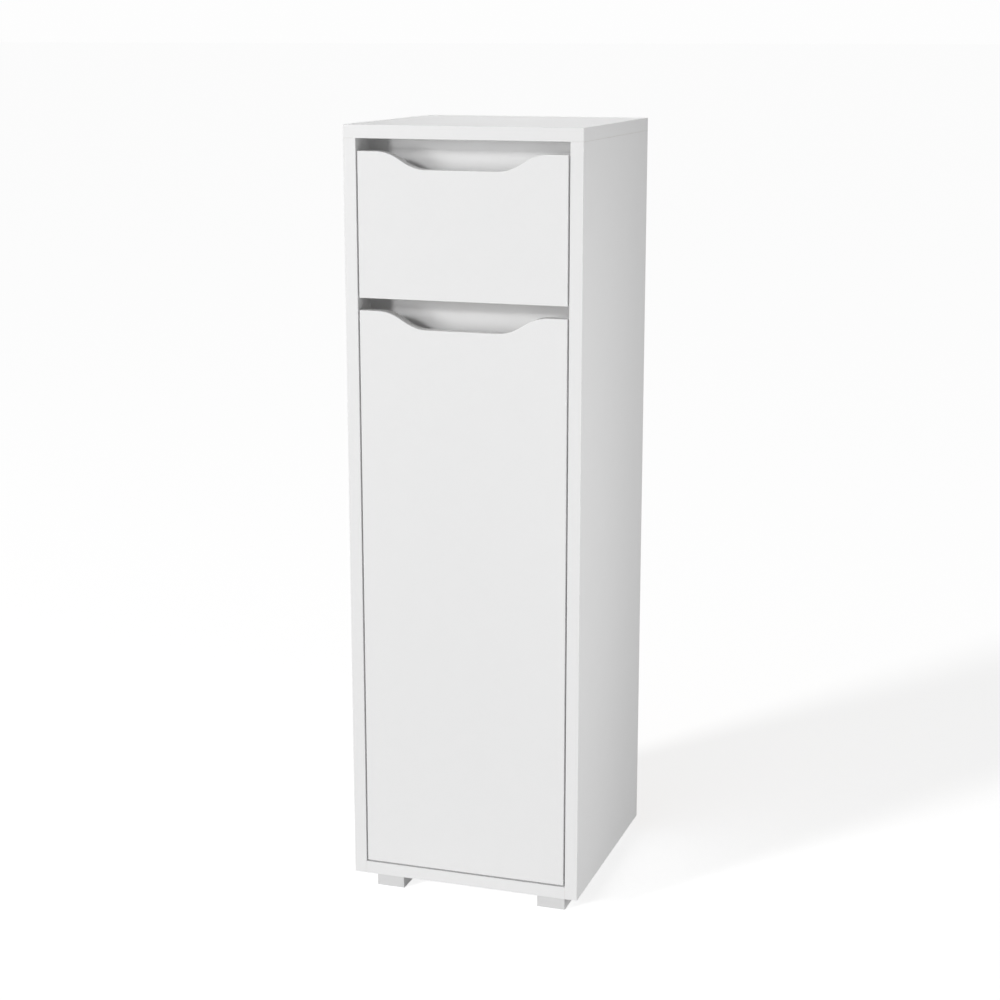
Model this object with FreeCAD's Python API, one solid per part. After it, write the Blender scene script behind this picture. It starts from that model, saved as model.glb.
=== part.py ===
"""Slim mid-height bathroom cabinet: one drawer above one door, both set in flush between the side panels.

The part's frame is in millimetres, +Z up. Its origin is on the floor, in the middle of the footprint, and the
fronts look along -Y. Both fronts are pulled at a grip cut out of their upper edge. A rail behind each grip
closes the view into the cabinet. The drawer runs on roller runners, and the door hangs on two concealed cup
hinges at its left edge. Flat-pack joints hold the panels: an eccentric cam in one panel draws up a bolt in the
next, and dowels locate them.
"""

import FreeCAD
import Part
import math
import os

Vector = FreeCAD.Vector
LEFT = Vector(-1, 0, 0)
RIGHT = Vector(1, 0, 0)
FORWARD = Vector(0, -1, 0)
BACKWARD = Vector(0, 1, 0)
UP = Vector(0, 0, 1)
DOWN = Vector(0, 0, -1)
CENTRE = Vector(0, 0, 0)

# Driving dimensions of the whole cabinet
cabinet_width = 300.0
cabinet_depth = 300.0
carcass_height = 957.0
foot_height = 25.0
board = 16.0

# The two fronts and the gaps round them
reveal = 2.0
grip_gap = 15.0
drawer_front_height = 176.5
grip_depth = 21.0
grip_shoulder = 23.0
grip_radius = 54.0
grip_slope_deg = 31.0
front_edge_radius = 0.8

# The rails behind the grips and the divider under the drawer
rail_setback = 42.0
rail_height = 60.0
divider_cover = 6.0

# The thin back panel and the grooves that hold it and the drawer bottom
sheet_board = 3.0
groove_depth = 6.0
groove_play = 0.2
back_inset = 8.0

# The shelves, their pins and the rows of holes that let them be moved
shelf_setback = 75.0
shelf_side_play = 1.0
shelf_back_play = 2.0
shelf_height_shares = (0.345, 0.68)
pin_radius = 2.45
pin_hole_radius = 2.5
pin_hole_depth = 10.0
pin_inset = 35.0
pin_length = 8.5
pin_seat_length = 8.0
pin_collar_radius = 4.0
pin_collar_length = 1.2
hole_pitch = 32.0
holes_each_way = 1

# The feet
foot_size = 37.5
foot_inset = 22.0
foot_wall = 2.5
foot_floor = 4.0
foot_corner_radius = 1.2
foot_boss_radius = 6.0
foot_screw_length = 32.0
foot_counterbore = 3.0

# Countersunk wood screws
screw_radius = 1.75
screw_head_radius = 3.4
screw_head_depth = 1.7
screw_hole_play = 0.05
screw_tip_room = 1.0
screw_tip_length = 2.0
screw_cross_length = 3.6
screw_cross_width = 0.8
screw_cross_depth = 0.9

# The eccentric cams, their bolts and the dowels
cam_radius = 7.5
cam_depth = 12.2
cam_sink = 0.3
cam_play = 0.1
cam_distance = 24.0
cam_cross_length = 8.0
cam_cross_width = 1.8
cam_cross_depth = 2.4
cam_pocket_play = 0.3
bolt_radius = 3.0
bolt_neck_radius = 2.0
bolt_neck_length = 4.0
bolt_head_length = 3.0
bolt_thread_radius = 2.45
bolt_thread_length = 10.0
bolt_hole_play = 0.5
thread_play = 0.05
dowel_radius = 4.0
dowel_deep = 20.0
dowel_shallow = 10.0
dowel_chamfer = 1.0
dowel_play = 0.05
dowel_room = 1.0

# Where the joints sit: along the depth of the panels from both edges, and down the height of the rails
cam_inset = 84.0
dowel_inset = 112.0
rail_cam_share = 0.32
rail_dowel_share = 0.7

# The drawer box
drawer_board = 12.0
drawer_top_gap = 9.5
drawer_bottom_lift = 10.0
drawer_cam_radius = 5.5
drawer_cam_depth = 9.0
drawer_cam_height_shares = (0.28, 0.78)
drawer_screw_height_shares = (0.35, 0.80)
drawer_screw_length = 35.0

# The roller runners
runner_gap = 12.5
runner_back_gap = 21.0
runner_sheet = 1.2
runner_lift = 2.0
runner_track = 8.8
runner_lip_gap = 1.2
runner_lip_start = 45.0
runner_end_inset = 13.0
runner_screw_length = 10.0
runner_screw_inset = 38.0
drawer_side_lift = 4.0
drawer_flange_clear = 1.0
roller_radius = 9.0
roller_width = 6.6
roller_play = 0.3
roller_side_play = 0.8
roller_rim_radius = 0.8
axle_radius = 2.0
axle_play = 0.05
axle_head_radius = 3.4
axle_head_length = 0.7
axle_head_gap = 0.2

# The concealed hinges
hinge_end_distance = 100.0
hinge_axis_lift = 9.0
door_swing_gap = 0.35
cup_radius = 17.5
cup_offset = 7.5
cup_depth = 12.8
cup_wall = 0.7
cup_play = 0.1
cup_floor_play = 0.2
cup_flange_thickness = 1.2
cup_flange_height = 60.0
cup_flange_near = 8.0
cup_flange_far = 17.0
cup_flange_corner = 5.0
cup_screw_spacing = 45.0
cup_screw_offset = 9.5
cup_screw_length = 11.0
hinge_pin_radius = 1.5
hinge_pin_play = 0.05
hinge_pin_end_play = 0.3
ear_thickness = 2.0
ear_half_width = 3.2
eye_radius = 2.6
hook_width = 12.0
hook_side_play = 0.3
hook_thickness = 2.2
hook_exit_right = 11.0
hook_exit_back = 4.0
hook_bulge_right = 17.0
hook_bulge_back = 12.0
hook_turn_right = 12.0
hook_door_gap = 0.8
arm_length = 54.0
arm_width = 14.0
arm_wall = 1.5
arm_play = 0.2
arm_screw_radius = 2.0
arm_screw_head_radius = 3.5
arm_screw_head_length = 1.8
arm_screw_slot = 4.0
arm_screw_inset = 12.0
arm_adjuster_inset = 24.0
arm_adjuster_length = 4.5
plate_height = 6.0
plate_front_gap = 12.0
plate_rear_gap = 2.0
plate_wing_thickness = 2.0
plate_wing_height = 46.0
plate_wing_length = 13.0
plate_wing_setback = 37.0
plate_screw_spacing = 32.0
plate_screw_length = 13.0

# How far a cutter runs past the face that it opens
overrun = 1.0

# Planes that several pieces share
half_width = cabinet_width / 2
front_y = -cabinet_depth / 2
rear_y = cabinet_depth / 2
inner_half = half_width - board
carcass_bottom = foot_height
carcass_top = foot_height + carcass_height
floor_z = carcass_bottom + board
ceiling_z = carcass_top - board
drawer_front_top = ceiling_z - grip_gap
drawer_front_bottom = drawer_front_top - drawer_front_height
door_top = drawer_front_bottom - grip_gap
door_bottom = floor_z + reveal
divider_top = drawer_front_bottom + divider_cover
divider_bottom = divider_top - board
rail_front = front_y + rail_setback
rail_back = rail_front + board
back_rear = rear_y - back_inset
back_front = back_rear - sheet_board
front_half = inner_half - reveal
front_back = front_y + board

# Solids to export, the solids of each shared group, and the holes to be cut in each panel
nodes = {}
groups = {}
holes = {}


def block(low, high):
    """A box between two corners."""
    size = high - low
    return Part.makeBox(size.x, size.y, size.z, low)


def rod(start, along, length, radius):
    """A round bar from start."""
    return Part.makeCylinder(radius, length, start, along)


def fused(shapes):
    """One solid made of shapes that touch."""
    result = shapes[0]
    for shape in shapes[1:]:
        result = result.fuse(shape)
    return result.removeSplitter()


def mirrored(shape):
    """The same piece on the cabinet's other side."""
    return shape.mirror(CENTRE, RIGHT)


def add_to(group, shape, both=True):
    """One more solid of a node that holds several alike, and its twin on the cabinet's other side."""
    groups.setdefault(group, []).append(shape)
    if both:
        groups[group].append(mirrored(shape))


def bore(panel, cutter, both=True):
    """A hole to be cut in a panel once all of its holes are known, and its twin on the other side."""
    holes.setdefault(panel, []).append(cutter)
    if both:
        holes.setdefault(panel.replace("_left", "_right"), []).append(mirrored(cutter))


def keep(name, shape):
    """Stores a finished piece, with the holes that its neighbours need in it."""
    for cutter in holes.get(name, []):
        shape = shape.cut(cutter)
    nodes[name] = shape


def keep_twin(name):
    """Stores the mirror image of a finished left piece as the right one."""
    nodes[name.replace("_left", "_right")] = mirrored(nodes[name])


def cross(centre, axis, length, width, depth):
    """The cutter of a cross drive: two crossed slots that go down from a face against its axis."""
    side = UP if abs(axis.z) < 0.5 else RIGHT
    other = axis.cross(side)
    slots = []
    for first, second in ((side, other), (other, side)):
        reach = first * (length / 2) + second * (width / 2)
        corner = centre - reach - axis * depth
        far = centre + reach + axis * overrun
        low = Vector(min(corner.x, far.x), min(corner.y, far.y), min(corner.z, far.z))
        high = Vector(max(corner.x, far.x), max(corner.y, far.y), max(corner.z, far.z))
        slots.append(block(low, high))
    return slots[0].fuse(slots[1])


def screw(group, head, along, length, seat, panel, both=True):
    """A countersunk screw through its seat into a panel: its flat head lies at head, and it runs along."""
    cone = Part.makeCone(screw_head_radius, screw_radius, screw_head_depth, head, along)
    shank_length = length - screw_tip_length
    shank = rod(head, along, shank_length, screw_radius)
    tip = Part.makeCone(screw_radius, screw_radius / 4, screw_tip_length, head + along * shank_length, along)
    drive = cross(head, along * -1, screw_cross_length, screw_cross_width, screw_cross_depth)
    add_to(group, fused([cone, shank, tip]).cut(drive), both)
    mouth = head - along * overrun
    hole_radius = screw_radius + screw_hole_play
    hole = rod(mouth, along, overrun + length + screw_tip_room, hole_radius)
    sink_radius = screw_head_radius + screw_hole_play
    sink = Part.makeCone(sink_radius, hole_radius, screw_head_depth + screw_hole_play, head, along)
    cutter = fused([hole, sink, rod(mouth, along, overrun, sink_radius)])
    bore(seat, cutter, both)
    bore(panel, cutter, both)


def cam_joint(point, into, face, cam_panel, bolt_panel, radius, depth, half_board, locks, bolts):
    """An eccentric cam let into one panel, and its bolt, which screws into the next panel along `into`.

    point lies where the two panels meet, on the middle plane of the panel that holds the cam, and face is the
    normal of the face that the cam is let into. The same joint is made on the cabinet's other side.
    """
    centre = point - into * cam_distance
    mouth = centre + face * (half_board - cam_sink)
    body = rod(mouth - face * (depth - cam_sink), face, depth - cam_sink, radius)
    pocket = rod(centre - into * bolt_head_length, into, bolt_head_length + radius + overrun,
                 bolt_radius + cam_pocket_play)
    drive = cross(mouth, face, cam_cross_length, cam_cross_width, cam_cross_depth)
    add_to(locks, body.cut(pocket).cut(drive))
    shaft_length = cam_distance - bolt_head_length / 2 - bolt_neck_length
    head = rod(centre - into * (bolt_head_length / 2), into, bolt_head_length, bolt_radius)
    neck = rod(centre, into, cam_distance, bolt_neck_radius)
    shaft = rod(point - into * shaft_length, into, shaft_length, bolt_radius)
    thread = rod(point, into, bolt_thread_length, bolt_thread_radius)
    add_to(bolts, fused([head, neck, shaft, thread]))
    bore(cam_panel, rod(centre + face * (half_board + overrun), face * -1, depth + cam_play + overrun,
                        radius + cam_play))
    bore(cam_panel, rod(centre, into, cam_distance + overrun, bolt_radius + bolt_hole_play))
    bore(bolt_panel, rod(point - into * overrun, into, overrun + bolt_thread_length + overrun,
                         bolt_thread_radius + thread_play))


def dowel(point, into, deep_panel, shallow_panel):
    """A beech dowel across a joint, on both sides of the cabinet. Its long end lies in deep_panel."""
    pin = rod(point - into * dowel_deep, into, dowel_deep + dowel_shallow, dowel_radius)
    ends = [edge for edge in pin.Edges if edge.Closed]
    add_to("dowels", pin.makeChamfer(dowel_chamfer, ends))
    radius = dowel_radius + dowel_play
    reach = dowel_deep + dowel_room
    bore(deep_panel, rod(point - into * reach, into, reach + overrun, radius))
    bore(shallow_panel, rod(point - into * overrun, into, overrun + dowel_shallow + dowel_room, radius))


def carcass_cam(point, into, face, cam_panel, bolt_panel):
    """A cam joint between two full panels."""
    cam_joint(point, into, face, cam_panel, bolt_panel, cam_radius, cam_depth, board / 2,
              "cam_locks", "cam_bolts")


def carcass_joints():
    """The cams and dowels that hold the carcass together, placed on the left and made on both sides."""
    middle = board / 2
    side = "side_panel_left"
    side_top = Vector(middle - half_width, 0, ceiling_z)
    floor_end = Vector(-inner_half, 0, floor_z - middle)
    divider_end = Vector(-inner_half, 0, divider_top - middle)
    for y in (front_y + cam_inset, rear_y - cam_inset):
        row = Vector(0, y, 0)
        carcass_cam(side_top + row, UP, RIGHT, side, "top_panel")
        carcass_cam(floor_end + row, LEFT, DOWN, "bottom_panel", side)
        carcass_cam(divider_end + row, LEFT, DOWN, "divider_panel", side)
    for y in (front_y + dowel_inset, rear_y - dowel_inset):
        row = Vector(0, y, 0)
        dowel(side_top + row, UP, side, "top_panel")
        dowel(floor_end + row, LEFT, "bottom_panel", side)
        dowel(divider_end + row, LEFT, "divider_panel", side)
    for rail, rail_top in (("grip_rail_upper", ceiling_z), ("grip_rail_lower", divider_top)):
        rail_end = Vector(-inner_half, rail_front + middle, rail_top)
        carcass_cam(rail_end + DOWN * (rail_height * rail_cam_share), LEFT, BACKWARD, rail, side)
        dowel(rail_end + DOWN * (rail_height * rail_dowel_share), LEFT, rail, side)


def back_groove(low, high):
    """The groove for the back panel, as wide as the panel and its play, in the slab between two corners."""
    side_play = groove_play / 2
    return block(Vector(low.x, back_front - side_play, low.z), Vector(high.x, back_rear + side_play, high.z))


def shelf_tops():
    """The height of each shelf's upper face."""
    height = divider_bottom - floor_z
    return [floor_z + height * share for share in shelf_height_shares]


def shelves():
    """Two loose shelves, each on four pins that stand in rows of holes."""
    half = inner_half - shelf_side_play
    shelf_front = front_y + shelf_setback
    shelf_rear = back_front - shelf_back_play
    for name, top in zip(("shelf_lower", "shelf_upper"), shelf_tops()):
        keep(name, block(Vector(-half, shelf_front, top - board), Vector(half, shelf_rear, top)))
        underside = top - board
        axis_z = underside - pin_radius
        for y in (shelf_front + pin_inset, shelf_rear - pin_inset):
            for step in range(-holes_each_way, holes_each_way + 1):
                mouth = Vector(-inner_half + overrun, y, axis_z + step * hole_pitch)
                bore("side_panel_left", rod(mouth, LEFT, pin_hole_depth + overrun, pin_hole_radius))
            face = Vector(-inner_half, y, axis_z)
            pin = rod(face + LEFT * pin_seat_length, RIGHT, pin_seat_length + pin_length, pin_radius)
            collar = rod(face, RIGHT, pin_collar_length, pin_collar_radius)
            above = block(Vector(-inner_half, y - pin_collar_radius, underside),
                          Vector(-inner_half + pin_length, y + pin_collar_radius, axis_z + pin_collar_radius))
            add_to("shelf_pins", fused([pin, collar.cut(above)]))


def panels():
    """The fixed panels of the carcass."""
    side = block(Vector(-half_width, front_y, carcass_bottom), Vector(-inner_half, rear_y, ceiling_z))
    side_groove = back_groove(Vector(-inner_half - groove_depth, 0, carcass_bottom - overrun),
                              Vector(-inner_half + overrun, 0, ceiling_z + overrun))
    side = side.cut(side_groove)
    keep("side_panel_left", side)
    keep("side_panel_right", mirrored(side))
    top = block(Vector(-half_width, front_y, ceiling_z), Vector(half_width, rear_y, carcass_top))
    groove_half = inner_half + groove_depth
    keep("top_panel", top.cut(back_groove(Vector(-groove_half, 0, ceiling_z - overrun),
                                          Vector(groove_half, 0, ceiling_z + groove_depth))))
    bottom = block(Vector(-inner_half, front_y, carcass_bottom), Vector(inner_half, rear_y, floor_z))
    keep("bottom_panel", bottom.cut(back_groove(Vector(-half_width, 0, floor_z - groove_depth),
                                                Vector(half_width, 0, floor_z + overrun))))
    back_half = inner_half + groove_depth - groove_play
    keep("back_panel", block(Vector(-back_half, back_front, floor_z - groove_depth + groove_play),
                             Vector(back_half, back_rear, ceiling_z + groove_depth - groove_play)))
    keep("divider_panel", block(Vector(-inner_half, rail_back, divider_bottom),
                                Vector(inner_half, back_front, divider_top)))
    for name, top_z in (("grip_rail_upper", ceiling_z), ("grip_rail_lower", divider_top)):
        low = Vector(-inner_half, rail_front, top_z - rail_height)
        keep(name, block(low, Vector(inner_half, rail_back, top_z)))


def grip_front(bottom_z, top_z):
    """A front board with the grip cut out of its upper edge: a flat that two S-curves lead down to."""
    slope = math.radians(grip_slope_deg)
    arc_rise = grip_radius * (1 - math.cos(slope))
    arc_run = grip_radius * math.sin(slope)
    slope_length = (grip_depth - 2 * arc_rise) / math.sin(slope)
    shoulder_end = front_half - grip_shoulder
    flat_end = shoulder_end - 2 * arc_run - slope_length * math.cos(slope)
    cut_z = top_z - grip_depth
    crest = Vector(shoulder_end, front_y, top_z - grip_radius)
    hollow = Vector(flat_end, front_y, cut_z + grip_radius)

    def on_arc(centre, side, share):
        turn = slope * share
        return centre + Vector(-side * math.sin(turn), 0, side * math.cos(turn)) * grip_radius

    low_corner = Vector(front_half, front_y, bottom_z)
    high_corner = Vector(front_half, front_y, top_z)
    right = [
        Part.LineSegment(low_corner, high_corner).toShape(),
        Part.LineSegment(high_corner, on_arc(crest, 1, 0)).toShape(),
        Part.Arc(on_arc(crest, 1, 0), on_arc(crest, 1, 0.5), on_arc(crest, 1, 1)).toShape(),
        Part.LineSegment(on_arc(crest, 1, 1), on_arc(hollow, -1, 1)).toShape(),
        Part.Arc(on_arc(hollow, -1, 1), on_arc(hollow, -1, 0.5), on_arc(hollow, -1, 0)).toShape(),
    ]
    left = [mirrored(edge) for edge in right]
    bottom = Part.LineSegment(low_corner, Vector(-front_half, front_y, bottom_z)).toShape()
    flat = Part.LineSegment(Vector(-flat_end, front_y, cut_z), Vector(flat_end, front_y, cut_z)).toShape()
    outline = Part.Wire(Part.__sortEdges__([bottom, flat] + right + left))
    front = Part.Face(outline).extrude(BACKWARD * board)
    rims = [edge for edge in front.Edges if edge.BoundBox.YLength < front_edge_radius]
    return front.makeFillet(front_edge_radius, rims)


def foot(row, y):
    """A pair of square moulded feet, open towards the cabinet, each with a boss for its screw."""
    x = foot_inset + foot_size / 2 - half_width
    half = foot_size / 2
    shell = block(Vector(x - half, y - half, 0), Vector(x + half, y + half, foot_height))
    uprights = [edge for edge in shell.Edges if abs(edge.tangentAt(edge.FirstParameter).z) > 0.5]
    shell = shell.makeFillet(foot_corner_radius, uprights)
    inside = half - foot_wall
    hollow = block(Vector(x - inside, y - inside, foot_floor),
                   Vector(x + inside, y + inside, foot_height + overrun))
    boss = rod(Vector(x, y, 0), UP, foot_height, foot_boss_radius)
    shell = shell.cut(hollow.cut(boss))
    name = "foot_" + row + "_left"
    head = Vector(x, y, foot_counterbore)
    screw("foot_screws", head, UP, foot_screw_length, name, "bottom_panel")
    mouth = Vector(x, y, -overrun)
    bore(name, rod(mouth, UP, overrun + foot_counterbore, screw_head_radius + screw_hole_play))
    keep(name, shell)
    keep_twin(name)


def feet():
    """Four feet, one near each corner of the bottom panel."""
    y = rear_y - foot_inset - foot_size / 2
    foot("front", -y)
    foot("rear", y)


# The runners share these planes. Their widths are measured from the side panel towards the drawer.
wall_x = -inner_half
runner_start = front_back + reveal
runner_end = back_front - runner_back_gap
runner_base = divider_top + runner_lift
track_top = runner_base + runner_sheet
roller_z = track_top + roller_play + roller_radius
flange_bottom = roller_z + roller_radius + roller_play
flange_top = flange_bottom + runner_sheet
runner_top = flange_top + runner_lip_gap + runner_sheet
drawer_web = wall_x + runner_gap - runner_sheet
drawer_side_x = wall_x + runner_gap
drawer_side_bottom = runner_base + drawer_side_lift
drawer_side_top = ceiling_z - rail_height - drawer_top_gap
drawer_side_height = drawer_side_top - drawer_side_bottom
drawer_rear = runner_end - reveal
drawer_inner_x = drawer_side_x + drawer_board


def roller(web_x, along, y):
    """A nylon roller and its riveted axle, which stands out from a web along the given direction."""
    start = web_x + along.x * roller_side_play
    wheel = rod(Vector(start, y, roller_z), along, roller_width, roller_radius)
    rims = [edge for edge in wheel.Edges if edge.Closed]
    wheel = wheel.makeFillet(roller_rim_radius, rims)
    wheel = wheel.cut(rod(Vector(web_x, y, roller_z), along, runner_gap, axle_radius + axle_play))
    head_gap = roller_side_play + roller_width + axle_head_gap
    axle = rod(Vector(web_x, y, roller_z), along, head_gap + axle_head_length, axle_radius)
    head = rod(Vector(web_x + along.x * head_gap, y, roller_z), along, axle_head_length, axle_head_radius)
    return wheel, axle.fuse(head).removeSplitter()


def cabinet_runners():
    """The runner halves on the side panels: a web, the drawer roller's track, a lip and a front roller."""
    web_face = wall_x + runner_sheet
    track_end = web_face + runner_track
    web = block(Vector(wall_x, runner_start, runner_base), Vector(web_face, runner_end, runner_top))
    track = block(Vector(wall_x, runner_start, runner_base), Vector(track_end, runner_end, track_top))
    lip = block(Vector(wall_x, runner_start + runner_lip_start, runner_top - runner_sheet),
                Vector(track_end, runner_end, runner_top))
    stop = block(Vector(wall_x, runner_end - runner_sheet, runner_base),
                 Vector(track_end, runner_end, runner_top))
    screw_z = (runner_base + runner_top) / 2
    for y in (runner_start + runner_screw_inset, runner_end - runner_screw_inset):
        screw("cabinet_runner_screws", Vector(web_face, y, screw_z), LEFT, runner_screw_length,
              "cabinet_runner_left", "side_panel_left")
    keep("cabinet_runner_left", fused([web, track, lip, stop]))
    keep_twin("cabinet_runner_left")
    wheel, axle = roller(web_face, RIGHT, runner_start + runner_end_inset)
    keep("cabinet_roller_left", wheel)
    keep_twin("cabinet_roller_left")
    add_to("cabinet_roller_axles", axle)


def drawer_runners():
    """The runner halves on the drawer: an angle under each side, a flange over the rollers, a rear roller."""
    low = drawer_side_bottom - runner_sheet
    web = block(Vector(drawer_web, runner_start, low), Vector(drawer_side_x, drawer_rear, flange_top))
    under = block(Vector(drawer_web, runner_start, low),
                  Vector(drawer_inner_x, drawer_rear, drawer_side_bottom))
    flange = block(Vector(wall_x + runner_sheet + drawer_flange_clear, runner_start, flange_bottom),
                   Vector(drawer_side_x, drawer_rear, flange_top))
    screw_z = (drawer_side_bottom + flange_bottom) / 2
    for y in (runner_start + runner_screw_inset, runner_end - runner_screw_inset):
        screw("drawer_runner_screws", Vector(drawer_web, y, screw_z), RIGHT, runner_screw_length,
              "drawer_runner_left", "drawer_side_left")
    keep("drawer_runner_left", fused([web, under, flange]))
    keep_twin("drawer_runner_left")
    wheel, axle = roller(drawer_web, LEFT, drawer_rear - runner_end_inset)
    keep("drawer_roller_left", wheel)
    keep_twin("drawer_roller_left")
    add_to("drawer_roller_axles", axle)


def drawer_box():
    """The drawer: its front with the grip, two sides, a back and a thin bottom in grooves."""
    bottom_z = drawer_side_bottom + drawer_bottom_lift
    bottom_top = bottom_z + sheet_board
    bottom_half = groove_depth - groove_play - drawer_inner_x
    bottom_front = front_back - groove_depth + groove_play
    groove = block(Vector(-bottom_half - groove_play, bottom_front - groove_play, bottom_z - groove_play / 2),
                   Vector(bottom_half + groove_play, drawer_rear + overrun, bottom_top + groove_play / 2))
    keep("drawer_bottom", block(Vector(-bottom_half, bottom_front, bottom_z),
                                Vector(bottom_half, drawer_rear, bottom_top)))
    middle = drawer_board / 2
    for share in drawer_cam_height_shares:
        point = Vector(drawer_side_x + middle, front_back, drawer_side_bottom + drawer_side_height * share)
        cam_joint(point, FORWARD, RIGHT, "drawer_side_left", "drawer_front", drawer_cam_radius,
                  drawer_cam_depth, middle, "drawer_cam_locks", "drawer_cam_bolts")
    for share in drawer_screw_height_shares:
        head = Vector(drawer_side_x, drawer_rear - middle, drawer_side_bottom + drawer_side_height * share)
        screw("drawer_box_screws", head, RIGHT, drawer_screw_length, "drawer_side_left", "drawer_back")
    side = block(Vector(drawer_side_x, front_back, drawer_side_bottom),
                 Vector(drawer_inner_x, drawer_rear, drawer_side_top))
    keep("drawer_side_left", side.cut(groove))
    keep_twin("drawer_side_left")
    keep("drawer_front", grip_front(drawer_front_bottom, drawer_front_top).cut(groove))
    keep("drawer_back", block(Vector(drawer_inner_x, drawer_rear - drawer_board, bottom_top),
                              Vector(-drawer_inner_x, drawer_rear, drawer_side_top)))


# The hinges share the door's axis, as near its left edge as the gap lets the front corner swing
door_left = -front_half
axis_depth = board - hinge_axis_lift
corner_room = reveal - door_swing_gap
axis_inset = (axis_depth ** 2 - corner_room ** 2) / (2 * corner_room)
hinge_x = door_left + axis_inset
hinge_y = front_y + axis_depth
cup_x = hinge_x + cup_offset
hook_back = math.hypot(axis_inset, hinge_axis_lift) + hook_door_gap + hook_thickness / 2
arm_front = hinge_y + hook_back - hook_thickness / 2
arm_rear = arm_front + arm_length
plate_start = arm_front + plate_front_gap
plate_end = arm_rear - plate_rear_gap
plate_top = wall_x + plate_height
arm_web = plate_top + arm_play
plate_screw_y = front_back + plate_wing_setback


def strip(points, thickness, low_z, width):
    """A bent strip of constant thickness along a line of points seen from above. It stands width high."""
    near, far = [], []
    for i, point in enumerate(points):
        before = points[max(i - 1, 0)]
        after = points[min(i + 1, len(points) - 1)]
        first = (point - before) if i else (after - point)
        second = (after - point) if i < len(points) - 1 else (point - before)
        first = first.normalize()
        second = second.normalize()
        bisector = (first + second).normalize()
        normal = Vector(-bisector.y, bisector.x, 0)
        reach = thickness / 2 / bisector.dot(first)
        near.append(point + normal * reach)
        far.append(point - normal * reach)
    outline = near + far[::-1]
    corners = [Vector(p.x, p.y, low_z) for p in outline]
    return Part.Face(Part.makePolygon(corners + corners[:1])).extrude(UP * width)


def hinge_arm(z):
    """The arm on the side panel: a channel whose hooked nose reaches into the cup and turns on its pin."""
    low = z - hook_width / 2
    axis = Vector(hinge_x, hinge_y, 0)
    path = [
        Vector(0, 0, 0),
        Vector(hook_exit_right, hook_exit_back, 0),
        Vector(hook_bulge_right, hook_bulge_back, 0),
        Vector(hook_turn_right, hook_back, 0),
        Vector(arm_web - hinge_x, hook_back, 0),
    ]
    hook = strip([axis + point for point in path], hook_thickness, low, hook_width)
    eye = rod(Vector(hinge_x, hinge_y, low), UP, hook_width, eye_radius)
    leg_foot = wall_x + plate_wing_thickness + arm_play
    arm_back = arm_web + arm_wall
    half = arm_width / 2
    inside = half - arm_wall
    channel = block(Vector(leg_foot, arm_front, z - half), Vector(arm_back, arm_rear, z + half))
    channel = channel.cut(block(Vector(leg_foot - overrun, arm_front + hook_thickness, z - inside),
                                Vector(arm_web, arm_rear + overrun, z + inside)))
    arm = fused([hook, eye, channel])
    arm = arm.cut(rod(Vector(hinge_x, hinge_y, low - overrun), UP, hook_width + 2 * overrun,
                      hinge_pin_radius + hinge_pin_play))
    slot_radius = arm_screw_radius + arm_play
    slot_front = arm_rear - arm_screw_inset - arm_screw_slot / 2
    slot_rear = slot_front + arm_screw_slot
    for y in (slot_front, slot_rear, arm_rear - arm_adjuster_inset):
        arm = arm.cut(rod(Vector(arm_web - overrun, y, z), RIGHT, arm_wall + 2 * overrun, slot_radius))
    return arm.cut(block(Vector(arm_web - overrun, slot_front, z - slot_radius),
                         Vector(arm_back + overrun, slot_rear, z + slot_radius)))


def arm_screws(z, plate):
    """The clamp screw that holds the arm on its plate, and the side adjuster ahead of it."""
    head_x = arm_web + arm_wall
    for y in (arm_rear - arm_screw_inset, arm_rear - arm_adjuster_inset):
        head = rod(Vector(head_x, y, z), RIGHT, arm_screw_head_length, arm_screw_head_radius)
        shank = rod(Vector(head_x - arm_adjuster_length, y, z), RIGHT, arm_adjuster_length, arm_screw_radius)
        top = Vector(head_x + arm_screw_head_length, y, z)
        drive = cross(top, RIGHT, screw_cross_length, screw_cross_width, screw_cross_depth)
        add_to("hinge_arm_screws", fused([head, shank]).cut(drive), both=False)
        bore(plate, rod(Vector(head_x - arm_adjuster_length - arm_play, y, z), RIGHT,
                        arm_adjuster_length + overrun, arm_screw_radius + arm_play / 2), both=False)


def hinge_plate(z):
    """The mounting plate: a low block under the arm, with a wing above and below for the screws."""
    half_block = arm_width / 2 - arm_wall - arm_play
    middle = block(Vector(wall_x, plate_start, z - half_block),
                   Vector(plate_top, plate_end, z + half_block))
    wing = block(Vector(wall_x, plate_screw_y - plate_wing_length / 2, z - plate_wing_height / 2),
                 Vector(wall_x + plate_wing_thickness, plate_screw_y + plate_wing_length / 2,
                        z + plate_wing_height / 2))
    return middle.fuse(wing).removeSplitter()


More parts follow.
